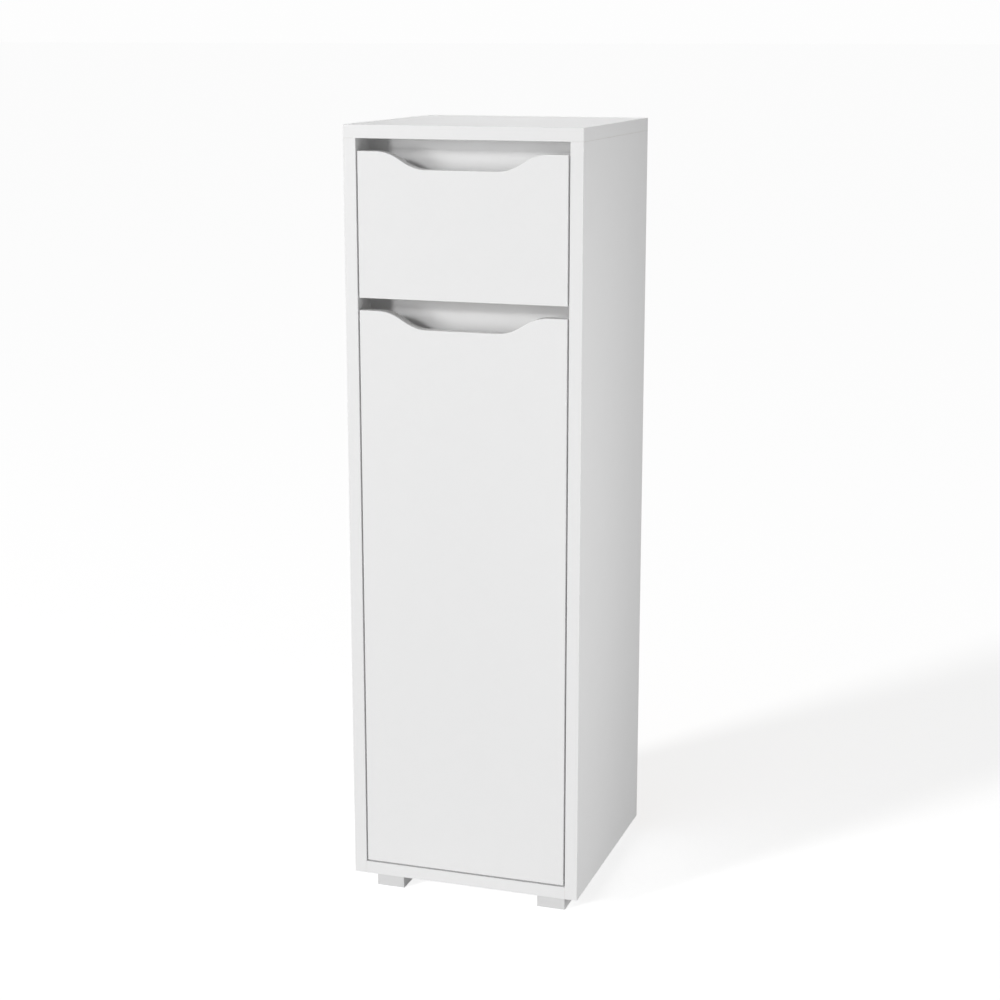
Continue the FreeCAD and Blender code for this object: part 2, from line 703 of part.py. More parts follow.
def hinge_cup(z):
    """The pressed cup in the door: a round pot, a flange on the door's back and two ears for the pin."""
    floor_y = front_back - cup_depth
    pot = rod(Vector(cup_x, floor_y, z), BACKWARD, cup_depth, cup_radius)
    half = cup_flange_height / 2
    flange = block(Vector(cup_x - cup_flange_near, front_back, z - half),
                   Vector(cup_x + cup_flange_far, front_back + cup_flange_thickness, z + half))
    corners = [edge for edge in flange.Edges if abs(edge.tangentAt(edge.FirstParameter).y) > 0.5]
    flange = flange.makeFillet(cup_flange_corner, corners)
    inside = rod(Vector(cup_x, floor_y + cup_wall, z), BACKWARD, cup_depth + overrun, cup_radius - cup_wall)
    cup = pot.fuse(flange).cut(inside)
    ear_inside = hook_width / 2 + hook_side_play
    for side in (-1, 1):
        faces = sorted((z + side * ear_inside, z + side * (ear_inside + ear_thickness)))
        ear = block(Vector(hinge_x - ear_half_width, floor_y + cup_wall / 2, faces[0]),
                    Vector(hinge_x + ear_half_width, hinge_y + ear_half_width, faces[1]))
        cup = cup.fuse(ear)
    cup = cup.removeSplitter()
    reach = ear_inside + ear_thickness
    half_pin = reach + hinge_pin_end_play
    pin = rod(Vector(hinge_x, hinge_y, z - half_pin), UP, 2 * half_pin, hinge_pin_radius)
    add_to("hinge_pins", pin, both=False)
    half_hole = half_pin + overrun
    return cup.cut(rod(Vector(hinge_x, hinge_y, z - half_hole), UP, 2 * half_hole,
                       hinge_pin_radius + hinge_pin_play))


def door_and_hinges():
    """The door with its grip, hung on two hinges that share one axis."""
    places = (("lower", door_bottom + hinge_end_distance), ("upper", door_top - hinge_end_distance))
    flange_y = front_back + cup_flange_thickness
    for place, z in places:
        cup_name = "hinge_cup_" + place
        plate_name = "hinge_plate_" + place
        bore("door_panel", rod(Vector(cup_x, front_back + overrun, z), FORWARD,
                               cup_depth + cup_floor_play + overrun, cup_radius + cup_play), both=False)
        for side in (-1, 1):
            cup_head = Vector(cup_x + cup_screw_offset, flange_y, z + side * cup_screw_spacing / 2)
            screw("hinge_cup_screws", cup_head, FORWARD, cup_screw_length, cup_name, "door_panel", both=False)
            plate_head = Vector(wall_x + plate_wing_thickness, plate_screw_y,
                                z + side * plate_screw_spacing / 2)
            screw("hinge_plate_screws", plate_head, LEFT, plate_screw_length, plate_name, "side_panel_left",
                  both=False)
        arm_screws(z, plate_name)
        keep("hinge_arm_" + place, hinge_arm(z))
        keep(plate_name, hinge_plate(z))
        keep(cup_name, hinge_cup(z))
    keep("door_panel", grip_front(door_bottom, door_top))


def build():
    """Every piece, in an order in which each hole is known before its panel is cut."""
    carcass_joints()
    shelves()
    feet()
    cabinet_runners()
    drawer_runners()
    drawer_box()
    door_and_hinges()
    panels()
    for name, solids in groups.items():
        nodes[name] = Part.makeCompound(solids)


build()
os.makedirs("parts", exist_ok=True)
for name, shape in nodes.items():
    shape.exportStep("parts/" + name + ".step")
    print(name, len(shape.Solids), shape.isValid(), round(shape.Volume))
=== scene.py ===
import bmesh
import bpy
import math
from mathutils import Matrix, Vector


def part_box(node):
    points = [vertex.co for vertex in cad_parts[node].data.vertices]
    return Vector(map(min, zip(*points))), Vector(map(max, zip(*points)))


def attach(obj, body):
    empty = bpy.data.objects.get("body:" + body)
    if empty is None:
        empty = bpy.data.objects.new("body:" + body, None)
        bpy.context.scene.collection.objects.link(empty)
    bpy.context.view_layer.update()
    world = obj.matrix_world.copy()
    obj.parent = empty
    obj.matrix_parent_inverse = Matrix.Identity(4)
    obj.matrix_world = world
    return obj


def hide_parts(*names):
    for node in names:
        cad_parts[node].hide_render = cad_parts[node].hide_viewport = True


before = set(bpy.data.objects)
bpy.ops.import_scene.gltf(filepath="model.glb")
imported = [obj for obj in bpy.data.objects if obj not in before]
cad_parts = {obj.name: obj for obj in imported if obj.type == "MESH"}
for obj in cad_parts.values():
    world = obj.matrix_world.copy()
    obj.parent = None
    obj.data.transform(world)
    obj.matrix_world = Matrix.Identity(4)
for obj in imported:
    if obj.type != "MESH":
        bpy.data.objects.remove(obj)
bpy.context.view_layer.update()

# Camera and studio. The camera stands in front of the cabinet, to its right, and looks a little down at it.
# Two lamps at the front left light everything and draw a soft shadow on the pale floor. Weaker lamps at the
# right, overhead and behind light all but the floor, and a pale dome and the floor's own glow add the rest.
camera_place = (0.7965, -2.4182, 1.0890)
camera_tilt = 13.053
camera_heading = 18.256
camera_lens = 72.6
floor_size = 400
floor_colour = (0.7, 0.7, 0.7, 1)
floor_roughness = 0.9
floor_light = 0.12
floor_glow = 0.73
dome_strength = 0.22
seen_white = 0.985
white = (1, 1, 1, 1)
bpy.ops.object.camera_add(location=camera_place,
                          rotation=(math.radians(90 - camera_tilt), 0, math.radians(camera_heading)))
camera = bpy.context.object
camera.data.lens = camera_lens
bpy.context.scene.camera = camera
bpy.context.scene.view_settings.view_transform = "Standard"


def node(tree, kind, links=None, **settings):
    """Adds a shader node, sets it up, links or fills its inputs, and returns its outputs."""
    made = tree.nodes.new("ShaderNode" + kind)
    for key, value in settings.items():
        setattr(made, key, value)
    for key, value in (links or {}).items():
        if isinstance(value, bpy.types.NodeSocket):
            tree.links.new(value, made.inputs[key])
        else:
            made.inputs[key].default_value = value
    return made.outputs


floor_paint = bpy.data.materials.new("floor_paint")
floor_paint.use_nodes = True
floor_shader = floor_paint.node_tree.nodes["Principled BSDF"]
floor_shader.inputs["Base Color"].default_value = floor_colour
floor_shader.inputs["Roughness"].default_value = floor_roughness
floor_shader.inputs["Specular IOR Level"].default_value = 0.0
floor_shader.inputs["Emission Color"].default_value = white
glow = node(floor_paint.node_tree, "Mix", {0: node(floor_paint.node_tree, "LightPath")["Is Camera Ray"],
                                          2: floor_light, 3: floor_glow})
floor_paint.node_tree.links.new(glow[0], floor_shader.inputs["Emission Strength"])
bpy.ops.mesh.primitive_plane_add(size=floor_size)
floor = bpy.context.object
floor.name = "studio_floor"
floor.data.materials.append(floor_paint)
all_but_floor = bpy.data.collections.new("all_but_floor")
all_but_floor.objects.link(floor)
all_but_floor.collection_objects[0].light_linking.link_state = "EXCLUDE"


def soft_box(place, target, width, height, power, spread=180, lights_floor=False):
    """A soft lamp with a broad face that the camera doesn't see."""
    bpy.ops.object.light_add(type="AREA", location=place)
    lamp = bpy.context.object
    lamp.rotation_euler = (Vector(target) - Vector(place)).to_track_quat("-Z", "Y").to_euler()
    lamp.data.shape = "RECTANGLE"
    lamp.data.size = width
    lamp.data.size_y = height
    lamp.data.energy = power
    lamp.data.spread = math.radians(spread)
    lamp.visible_camera = False
    if not lights_floor:
        lamp.light_linking.receiver_collection = all_but_floor


def far_lamp(height, heading, power, softness, lights_floor=False):
    """A lamp so far off that its light is even. It stands at a height and a heading in degrees."""
    bpy.ops.object.light_add(type="SUN", rotation=(math.radians(90 - height), 0, math.radians(heading)))
    lamp = bpy.context.object
    lamp.data.energy = power
    lamp.data.angle = math.radians(softness)
    if not lights_floor:
        lamp.light_linking.receiver_collection = all_but_floor


soft_box(place=(-3.5, -4.9, 1.05), target=(0, -0.1, 0.6), width=0.75, height=2.1, power=107,
         lights_floor=True)
soft_box(place=(0.62, -0.24, 0.53), target=(0.15, -0.14, 0.53), width=0.25, height=1.0, power=0.46,
         spread=110)
soft_box(place=(0.0, 0.05, 1.9), target=(0, 0, 0.98), width=0.7, height=0.7, power=0.28, spread=70)
soft_box(place=(-0.6, 3.6, 1.2), target=(0, 0.15, 0.5), width=2.0, height=2.0, power=28)
far_lamp(height=19, heading=-35, power=1.17, softness=9, lights_floor=True)
far_lamp(height=42, heading=88, power=1.0, softness=25)

world = bpy.data.worlds.new("studio_dome")
world.use_nodes = True
bpy.context.scene.world = world
sky = world.node_tree
sky.nodes.clear()
strength = node(sky, "Mix", {0: node(sky, "LightPath")["Is Camera Ray"], 2: dome_strength, 3: seen_white})
shine = node(sky, "Background", {"Color": white, "Strength": strength[0]})
node(sky, "OutputWorld", {"Surface": shine["Background"]})

# Side panels. Chipboard, 16 mm thick, coated white on both faces, with a plastic band glued along the front
# and the foot edge. The other edges are sawn and bare. They are drilled for shelf pins, cams, bolts, dowels
# and screws, and grooved for the back panel.
band_radius = 0.0003
band_steps = 3
drill_play = 0.00006
drill_sides = 32
overrun = 0.001
weld_gap = 0.000002
flat_within = math.radians(0.6)
same_way = 0.9
sides = {"left": Vector((-1, 0, 0)), "right": Vector((1, 0, 0)), "front": Vector((0, -1, 0)),
         "rear": Vector((0, 1, 0)), "bottom": Vector((0, 0, -1)), "top": Vector((0, 0, 1))}


def group(name, inputs, outputs):
    """A shader node group with named sockets. Returns it with its inner ends."""
    tree = bpy.data.node_groups.new(name, "ShaderNodeTree")
    for label, kind, value in inputs:
        socket = tree.interface.new_socket(label, in_out="INPUT", socket_type="NodeSocket" + kind)
        socket.default_value = value
    for label, kind in outputs:
        tree.interface.new_socket(label, in_out="OUTPUT", socket_type="NodeSocket" + kind)
    return tree, tree.nodes.new("NodeGroupInput").outputs, tree.nodes.new("NodeGroupOutput").inputs


def mixed(tree, mask, first, second):
    """The colour between two colours, by a mask."""
    return node(tree, "Mix", {0: mask, 6: first, 7: second}, data_type="RGBA")[2]


def spot(tree, scale, stretch=(1.0, 1.0, 1.0)):
    """The place on the piece, in pattern units: so many to a metre, and stretched along the axes."""
    place = node(tree, "TexCoord")["Object"]
    even = node(tree, "VectorMath", {0: place, "Scale": scale}, operation="SCALE")[0]
    return node(tree, "VectorMath", {0: even, 1: stretch}, operation="MULTIPLY")[0]


def grey(level):
    """A neutral colour."""
    return (level, level, level, 1)


# The effect on smooth finishes: a tone that drifts a little over a hand's width, and a skin of low pimples
skin, skin_in, skin_out = group("smooth_skin", [
    ("Colour", "Color", grey(0.75)), ("Second Colour", "Color", grey(0.73)), ("Drift Scale", "Float", 9.0),
    ("Pimple Scale", "Float", 900.0), ("Roughness", "Float", 0.5), ("Roughness Drift", "Float", 0.08)],
    [("Colour", "Color"), ("Roughness", "Float"), ("Height", "Float")])
drift = node(skin, "TexNoise", {"Vector": spot(skin, skin_in["Drift Scale"]), "Detail": 3.0,
                                "Roughness": 0.6})
skin.links.new(mixed(skin, drift[0], skin_in["Colour"], skin_in["Second Colour"]), skin_out["Colour"])
swing = node(skin, "Math", {0: drift[0], 1: 0.5}, operation="SUBTRACT")
swing = node(skin, "Math", {0: swing[0], 1: skin_in["Roughness Drift"], 2: skin_in["Roughness"]},
             operation="MULTIPLY_ADD")
skin.links.new(swing[0], skin_out["Roughness"])
pimples = node(skin, "TexNoise", {"Vector": spot(skin, skin_in["Pimple Scale"]), "Detail": 2.0})
skin.links.new(pimples[0], skin_out["Height"])

# The effect on sawn chipboard: chips of several browns, with small dark gaps between them
chips, chips_in, chips_out = group("sawn_chips", [
    ("Pale Chip", "Color", (0.56, 0.40, 0.24, 1)), ("Dark Chip", "Color", (0.30, 0.18, 0.09, 1)),
    ("Gap", "Color", (0.10, 0.06, 0.03, 1)), ("Chip Scale", "Float", 420.0)],
    [("Colour", "Color"), ("Roughness", "Float"), ("Height", "Float")])
chip_spot = spot(chips, chips_in["Chip Scale"])
chip_cells = node(chips, "TexVoronoi", {"Vector": chip_spot, "Scale": 1.0, "Randomness": 1.0})
chip_tone = node(chips, "SeparateColor", {0: chip_cells["Color"]})
gap_noise = node(chips, "TexNoise", {"Vector": chip_spot, "Scale": 0.6, "Detail": 4.0})
gap_mask = node(chips, "MapRange", {"Value": gap_noise[0], "From Min": 0.62, "From Max": 0.72})[0]
chip_colour = mixed(chips, chip_tone[0], chips_in["Pale Chip"], chips_in["Dark Chip"])
chips.links.new(mixed(chips, gap_mask, chip_colour, chips_in["Gap"]), chips_out["Colour"])
chips.links.new(node(chips, "MapRange", {"Value": chip_tone[1], "To Min": 0.8, "To Max": 0.95})[0],
                chips_out["Roughness"])
chips.links.new(node(chips, "Math", {0: chip_tone[0], 1: gap_mask}, operation="SUBTRACT")[0],
                chips_out["Height"])


def finish(name, effect, values, bump, **fixed):
    """A material whose colour, roughness and relief come from a group. Its fixed values are the shader's."""
    material = bpy.data.materials.new(name)
    material.use_nodes = True
    tree = material.node_tree
    shader = tree.nodes["Principled BSDF"]
    look = tree.nodes.new("ShaderNodeGroup")
    look.node_tree = effect
    for label, value in values.items():
        look.inputs[label].default_value = value
    tree.links.new(look.outputs["Colour"], shader.inputs["Base Color"])
    tree.links.new(look.outputs["Roughness"], shader.inputs["Roughness"])
    relief = node(tree, "Bump", {"Height": look.outputs["Height"], "Distance": bump})
    tree.links.new(relief["Normal"], shader.inputs["Normal"])
    for label, value in fixed.items():
        shader.inputs[label.replace("_", " ")].default_value = value
    return material


coating = finish("white_coating", skin, {
    "Colour": grey(0.9), "Second Colour": grey(0.885), "Drift Scale": 7.0, "Pimple Scale": 1100.0,
    "Roughness": 0.5}, bump=0.000012)
band = finish("white_edge_band", skin, {
    "Colour": grey(0.905), "Second Colour": grey(0.89), "Drift Scale": 30.0, "Pimple Scale": 2200.0,
    "Roughness": 0.36}, bump=0.000006)
core = finish("sawn_chipboard", chips, {}, bump=0.0002)


def pick(piece, kind, wanted):
    """Selects the vertices, edges or faces that pass a test. The piece is in edit mode."""
    bpy.ops.mesh.select_mode(type=kind)
    bpy.ops.mesh.select_all(action="DESELECT")
    mesh = bmesh.from_edit_mesh(piece.data)
    mesh.normal_update()
    for part in {"VERT": mesh.verts, "EDGE": mesh.edges, "FACE": mesh.faces}[kind]:
        if wanted(part):
            part.select_set(True)
    bmesh.update_edit_mesh(piece.data)


def only(piece):
    """Makes one piece the selected and active one."""
    bpy.ops.object.select_all(action="DESELECT")
    piece.select_set(True)
    bpy.context.view_layer.objects.active = piece


def applied(piece, kind, **settings):
    """Adds a modifier to a piece, sets it up and applies it."""
    only(piece)
    modifier = piece.modifiers.new(kind, kind)
    for key, value in settings.items():
        setattr(modifier, key, value)
    bpy.ops.object.modifier_apply(modifier=modifier.name)


def sawn(name, low, high, *materials):
    """A block sawn to size between two corners."""
    bpy.ops.mesh.primitive_cube_add(size=1, location=(low + high) / 2, scale=high - low)
    bpy.ops.object.transform_apply()
    piece = bpy.context.object
    piece.name = name
    for material in materials:
        piece.data.materials.append(material)
    return piece


def board(name, low, high, banded=""):
    """A coated board between two corners, with a band glued to the named edges and their corners eased."""
    piece = sawn(name, low, high, coating, band, core)
    thickness = min(range(3), key=lambda axis: high[axis] - low[axis])
    bands = [sides[side] for side in banded.split()]
    for face in piece.data.polygons:
        banded_here = any(face.normal.dot(side) > same_way for side in bands)
        face.material_index = 0 if abs(face.normal[thickness]) > same_way else 1 if banded_here else 2
    if bands:
        bpy.ops.object.mode_set(mode="EDIT")
        pick(piece, "EDGE", lambda edge: sum(face.material_index for face in edge.link_faces) in (1, 2)
             and all(face.material_index < 2 for face in edge.link_faces))
        bpy.ops.mesh.bevel(offset=band_radius, segments=band_steps, profile=0.5)
        bpy.ops.object.mode_set(mode="OBJECT")
    return piece


def cut(piece, cutter, lining):
    """Takes the cutter's shape out of a piece, and leaves the lining's material there."""
    cutter.data.materials.append(lining)
    applied(piece, "BOOLEAN", object=cutter, operation="DIFFERENCE", solver="EXACT", material_mode="TRANSFER")
    bpy.data.objects.remove(cutter)


def groove(piece, low, high):
    """Saws a groove between two corners."""
    cut(piece, sawn("cutter", low, high), core)


def drill(piece, centre, axis, radius, length, lining=core):
    """Drills a hole of a given length about its middle point."""
    turn = Vector(axis).to_track_quat("Z", "Y").to_euler()
    bpy.ops.mesh.primitive_cylinder_add(vertices=drill_sides, radius=radius, depth=length, location=centre,
                                        rotation=turn)
    cut(piece, bpy.context.object, lining)


def corners(points):
    """The lowest and highest corner of a set of points."""
    points = list(points)
    return [Vector(end(point[axis] for point in points) for axis in range(3)) for end in (min, max)]


def merged(name, source):
    """A copy of a node's mesh as a piece of its own, its loose triangles joined into whole faces."""
    piece = bpy.data.objects.new(name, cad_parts[source].data.copy())
    bpy.context.scene.collection.objects.link(piece)
    only(piece)
    bpy.ops.object.mode_set(mode="EDIT")
    bpy.ops.mesh.select_all(action="SELECT")
    bpy.ops.mesh.remove_doubles(threshold=weld_gap)
    bpy.ops.mesh.dissolve_limited(angle_limit=flat_within)
    bpy.ops.object.mode_set(mode="OBJECT")
    return piece


solids_seen = {}


def solids(name):
    """The lowest and highest corner of each solid in a node that holds several alike."""
    if name not in solids_seen:
        merged("measured", name)
        bpy.ops.mesh.separate(type="LOOSE")
        parts = list(bpy.context.selected_objects)
        solids_seen[name] = [corners(vertex.co for vertex in part.data.vertices) for part in parts]
        for part in parts:
            bpy.data.objects.remove(part)
    return solids_seen[name]


def drill_for(piece, name, reach=drill_play, radius=None):
    """Drills a piece wherever a round solid of a fastener node sits in it, along that solid's axis."""
    low, high = corners(vertex.co for vertex in piece.data.vertices)
    for start, end in solids(name):
        size = end - start
        if all(start[k] < high[k] and end[k] > low[k] for k in range(3)):
            ranked = sorted(range(3), key=lambda k: size[k])
            longest_apart = size[ranked[2]] - size[ranked[1]] > size[ranked[1]] - size[ranked[0]]
            lone = ranked[2] if longest_apart else ranked[0]
            axis = Vector(float(k == lone) for k in range(3))
            drill(piece, (start + end) / 2, axis, radius or size[ranked[1]] / 2 + drill_play,
                  size[lone] + 2 * reach)


def smooth(piece, angle=40):
    """Smooths the eased corners and keeps the flat faces flat."""
    only(piece)
    bpy.ops.object.shade_smooth_by_angle(angle=math.radians(angle))
    applied(piece, "WEIGHTED_NORMAL", keep_sharp=True, weight=100)


def settle(piece, body, slot, *nodes):
    """Closes and smooths a finished piece and fixes it to its body, in place of the nodes it stands for."""
    only(piece)
    bpy.ops.object.mode_set(mode="EDIT")
    bpy.ops.mesh.select_all(action="SELECT")
    bpy.ops.mesh.fill_holes(sides=4)
    bpy.ops.object.mode_set(mode="OBJECT")
    smooth(piece)
    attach(piece, body)
    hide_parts(*nodes)


back_low, back_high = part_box("back_panel")
groove_play = Vector((0.0001, 0.0001, 0.0001))
screw_hole_radius = 0.0018
pin_radius = 0.00245
pin_hole_radius = 0.0025
pin_hole_depth = 0.010
pin_hole_pitch = 0.032
for hand in ("left", "right"):
    low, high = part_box("side_panel_" + hand)
    panel = board("side_board_" + hand, low, high, "front bottom")
    groove(panel, Vector((back_low.x, back_low.y, low.z - overrun)) - groove_play,
           Vector((back_high.x, back_high.y, high.z + overrun)) + groove_play)
    drill_for(panel, "cam_locks", overrun)
    drill_for(panel, "cam_bolts")
    drill_for(panel, "dowels")
    drill_for(panel, "cabinet_runner_screws", radius=screw_hole_radius)
    drill_for(panel, "hinge_plate_screws", radius=screw_hole_radius)
    inner_x = high.x if hand == "left" else low.x
    for start, end in solids("shelf_pins"):
        if (start.x < 0) == (hand == "left"):
            for step in (-1, 0, 1):
                hole = Vector((inner_x, (start.y + end.y) / 2, end.z - pin_radius + step * pin_hole_pitch))
                drill(panel, hole, sides["right"], pin_hole_radius, 2 * pin_hole_depth)
    settle(panel, "carcass", "white_board", "side_panel_" + hand)

# Top and bottom panels. The same board. The top lies over the sides with bands on three edges, and the bottom
# stands between them with a band at the front. Both take the back panel in a groove.
for name, banded in (("top", "front left right"), ("bottom", "front")):
    low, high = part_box(name + "_panel")
    panel = board(name + "_board", low, high, banded)
    groove(panel, back_low - groove_play, back_high + groove_play)
    drill_for(panel, "cam_locks", overrun)
    drill_for(panel, "cam_bolts")
    drill_for(panel, "dowels")
    drill_for(panel, "foot_screws", radius=screw_hole_radius)
    settle(panel, "carcass", "white_board", name + "_panel")

# Divider and grip rails. The divider is a bare-edged shelf that carries the drawer bay. The rails close the
# finger gaps behind the fronts. Cams and dowels fix them between the sides.
for name, banded in (("divider_panel", ""), ("grip_rail_upper", "bottom"), ("grip_rail_lower", "bottom top")):
    low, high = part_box(name)
    panel = board(name.replace("panel", "board").replace("rail", "rail_board"), low, high, banded)
    drill_for(panel, "cam_locks", overrun)
    drill_for(panel, "cam_bolts")
    drill_for(panel, "dowels")
    settle(panel, "carcass", "white_board", name)

# Back panel. Hardboard, 3 mm thick, lacquered white towards the inside and brown and fibrous behind. It
# slides in the grooves of the sides, the top and the bottom.
sheet_corner = 0.0002
sheet_corner_steps = 2
screen_scale = 620.0
fibres, fibres_in, fibres_out = group("pressed_fibres", [
    ("Colour", "Color", (0.40, 0.27, 0.16, 1)), ("Second Colour", "Color", (0.24, 0.14, 0.07, 1)),
    ("Cloud Colour", "Color", (0.30, 0.19, 0.105, 1)), ("Fibre Scale", "Float", 150.0),
    ("Cloud Scale", "Float", 16.0)],
    [("Colour", "Color"), ("Roughness", "Float"), ("Height", "Float")])
mat_noise = node(fibres, "TexNoise", {"Vector": spot(fibres, fibres_in["Fibre Scale"]), "Detail": 6.0,
                                      "Roughness": 0.75, "Distortion": 1.6})
fibre_mask = node(fibres, "MapRange", {"Value": mat_noise[0], "From Min": 0.34, "From Max": 0.68})[0]
clouds = node(fibres, "TexNoise", {"Vector": spot(fibres, fibres_in["Cloud Scale"]), "Detail": 5.0,
                                   "Roughness": 0.6})
cloud_mask = node(fibres, "MapRange", {"Value": clouds[0], "From Min": 0.38, "From Max": 0.66,
                                       "To Max": 0.8})[0]
screen = node(fibres, "TexVoronoi", {"Vector": spot(fibres, screen_scale), "Scale": 1.0, "Randomness": 0.12})
fibre_tone = mixed(fibres, fibre_mask, fibres_in["Colour"], fibres_in["Second Colour"])
fibres.links.new(mixed(fibres, cloud_mask, fibre_tone, fibres_in["Cloud Colour"]), fibres_out["Colour"])
fibres.links.new(node(fibres, "MapRange", {"Value": mat_noise[0], "To Min": 0.7, "To Max": 0.95})[0],
                 fibres_out["Roughness"])
fibres.links.new(node(fibres, "Math", {0: screen["Distance"], 1: mat_noise[0]}, operation="ADD")[0],
                 fibres_out["Height"])
lacquer = finish("white_lacquer", skin, {
    "Colour": grey(0.75), "Second Colour": grey(0.72), "Drift Scale": 12.0, "Pimple Scale": 700.0,
    "Roughness": 0.42}, bump=0.00002)
bare_fibre = finish("bare_hardboard", fibres, {}, bump=0.00015)


def hardboard(name, low, high, painted):
    """A thin sheet between two corners. The named side is lacquered, and the rest is bare."""
    piece = sawn(name, low, high, lacquer, bare_fibre)
    for face in piece.data.polygons:
        face.material_index = 0 if face.normal.dot(sides[painted]) > same_way else 1
    bpy.ops.object.mode_set(mode="EDIT")
    pick(piece, "EDGE", lambda edge: True)
    bpy.ops.mesh.bevel(offset=sheet_corner, segments=sheet_corner_steps, profile=0.5)
    bpy.ops.object.mode_set(mode="OBJECT")
    return piece


settle(hardboard("back_sheet", back_low, back_high, "front"), "carcass", "white_hardboard", "back_panel")

# Shelves. Two loose boards with a band at the front only. Each lies on four nickel pins, which can be moved
# to other holes.
for level in ("lower", "upper"):
    shelf = board("shelf_board_" + level, *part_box("shelf_" + level), "front")
    settle(shelf, "carcass", "white_board", "shelf_" + level)

# Feet. Moulded light grey plastic, open at the top, with a boss for the one screw that holds each of them
# under the bottom panel.
foot_wall = 0.0025
foot_floor = 0.004
foot_corner = 0.0012
foot_corner_steps = 4
foot_edge = 0.0005
foot_edge_steps = 3
boss_radius = 0.006
sink_radius = 0.0035
sink_depth = 0.003
plastic = finish("grey_plastic", skin, {
    "Colour": grey(0.76), "Second Colour": grey(0.73), "Drift Scale": 40.0, "Pimple Scale": 1800.0,
    "Roughness": 0.42}, bump=0.00003)
for row in ("front", "rear"):
    for hand in ("left", "right"):
        low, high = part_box("foot_" + row + "_" + hand)
        foot = sawn("foot_block_" + row + "_" + hand, low, high, plastic)
        bpy.ops.object.mode_set(mode="EDIT")
        pick(foot, "FACE", lambda face: face.normal.z > same_way)
        bpy.ops.mesh.inset(thickness=foot_wall)
        hollow = (0, 0, low.z + foot_floor - high.z)
        bpy.ops.mesh.extrude_region_move(TRANSFORM_OT_translate={"value": hollow})
        pick(foot, "EDGE", lambda edge: abs(edge.verts[0].co.z - edge.verts[1].co.z) > foot_wall)
        bpy.ops.mesh.bevel(offset=foot_corner, segments=foot_corner_steps, profile=0.5)
        pick(foot, "EDGE", lambda edge: max(vertex.co.z for vertex in edge.verts) < foot_edge)
        bpy.ops.mesh.bevel(offset=foot_edge, segments=foot_edge_steps, profile=0.5)
        bpy.ops.object.mode_set(mode="OBJECT")
        middle = (low + high) / 2
        bpy.ops.mesh.primitive_cylinder_add(
            vertices=drill_sides, radius=boss_radius, depth=high.z - foot_floor / 2,
            location=(middle.x, middle.y, (high.z + foot_floor / 2) / 2))
        boss = bpy.context.object
        boss.data.materials.append(plastic)
        applied(foot, "BOOLEAN", object=boss, operation="UNION", solver="EXACT")
        bpy.data.objects.remove(boss)
        drill(foot, middle, sides["top"], screw_hole_radius, 2 * high.z, plastic)
        sink_mouth = Vector((middle.x, middle.y, low.z))
        drill(foot, sink_mouth, sides["top"], sink_radius, 2 * sink_depth + 2 * overrun, plastic)
        settle(foot, "carcass", "foot_plastic", "foot_" + row + "_" + hand)

# Flat-pack fasteners. Die-cast zinc cams draw up plated steel bolts, and beech dowels locate the boards. The
# shelf pins are nickel plated, and the wood screws are zinc plated.
rough_cast = finish("cast_zinc", skin, {
    "Colour": (0.50, 0.51, 0.53, 1), "Second Colour": (0.38, 0.39, 0.41, 1), "Drift Scale": 160.0,
    "Pimple Scale": 2600.0, "Roughness": 0.46, "Roughness Drift": 0.3}, bump=0.00008, Metallic=1.0)
nickel = finish("nickel_plate", skin, {
    "Colour": (0.66, 0.65, 0.62, 1), "Second Colour": (0.58, 0.57, 0.54, 1), "Drift Scale": 90.0,
    "Pimple Scale": 1500.0, "Roughness": 0.24, "Roughness Drift": 0.2}, bump=0.000012, Metallic=1.0)
zinc_plate = finish("zinc_plate", skin, {
    "Colour": (0.62, 0.62, 0.60, 1), "Second Colour": (0.56, 0.52, 0.40, 1), "Drift Scale": 220.0,
    "Pimple Scale": 2400.0, "Roughness": 0.33, "Roughness Drift": 0.25}, bump=0.00003, Metallic=1.0)
grain, grain_in, grain_out = group("wood_grain", [
    ("Colour", "Color", (0.62, 0.42, 0.24, 1)), ("Second Colour", "Color", (0.45, 0.27, 0.13, 1)),
    ("Grain Scale", "Float", 900.0)],
    [("Colour", "Color"), ("Roughness", "Float"), ("Height", "Float")])
streaks = node(grain, "TexNoise", {"Vector": spot(grain, grain_in["Grain Scale"], (0.08, 1.0, 1.0)),
                                   "Detail": 5.0, "Roughness": 0.65})
grain.links.new(mixed(grain, streaks[0], grain_in["Colour"], grain_in["Second Colour"]), grain_out["Colour"])
grain.links.new(node(grain, "MapRange", {"Value": streaks[0], "To Min": 0.55, "To Max": 0.8})[0],
                grain_out["Roughness"])
grain.links.new(streaks[0], grain_out["Height"])
beech = finish("beech", grain, {}, bump=0.0001)


def dress(material, *names):
    """Gives carried-over nodes a finish."""
    for name in names:
        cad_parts[name].data.materials.clear()
        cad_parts[name].data.materials.append(material)


dress(rough_cast, "cam_locks", "drawer_cam_locks")
dress(zinc_plate, "cam_bolts", "drawer_cam_bolts", "foot_screws", "cabinet_runner_screws",
      "drawer_runner_screws", "drawer_box_screws", "hinge_cup_screws", "hinge_plate_screws")
dress(nickel, "shelf_pins")
dress(beech, "dowels")

